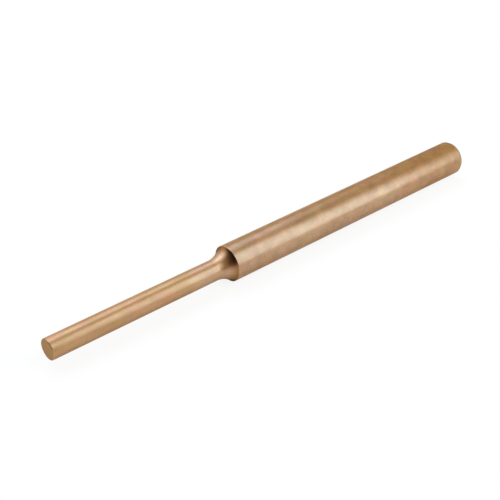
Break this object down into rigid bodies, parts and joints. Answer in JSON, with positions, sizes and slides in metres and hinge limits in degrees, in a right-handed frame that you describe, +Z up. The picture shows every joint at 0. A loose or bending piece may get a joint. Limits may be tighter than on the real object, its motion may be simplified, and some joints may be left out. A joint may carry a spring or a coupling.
{
  "type": "pin punch",
  "caption": "Pin punch turned from solid copper alloy bar: plain round body, hollow-radius neck and long straight pin, flat at both ends.",
  "frame": {"origin": "on the lowest line of the body, halfway along the punch, where it lies on a bench", "axes": "+X along the punch, from the tip's face to the striking face; +Z up; +Y across"},
  "size_m": [0.2, 0.014, 0.014],
  "materials": {
    "bronze": "satin turned copper alloy, pinkish tan, lightly polished along the pin and the body, a little darker on the end faces"
  },
  "bodies": {
    "root": {"pin": "bronze", "neck": "bronze", "body": "bronze"}
  },
  "joints": []
}
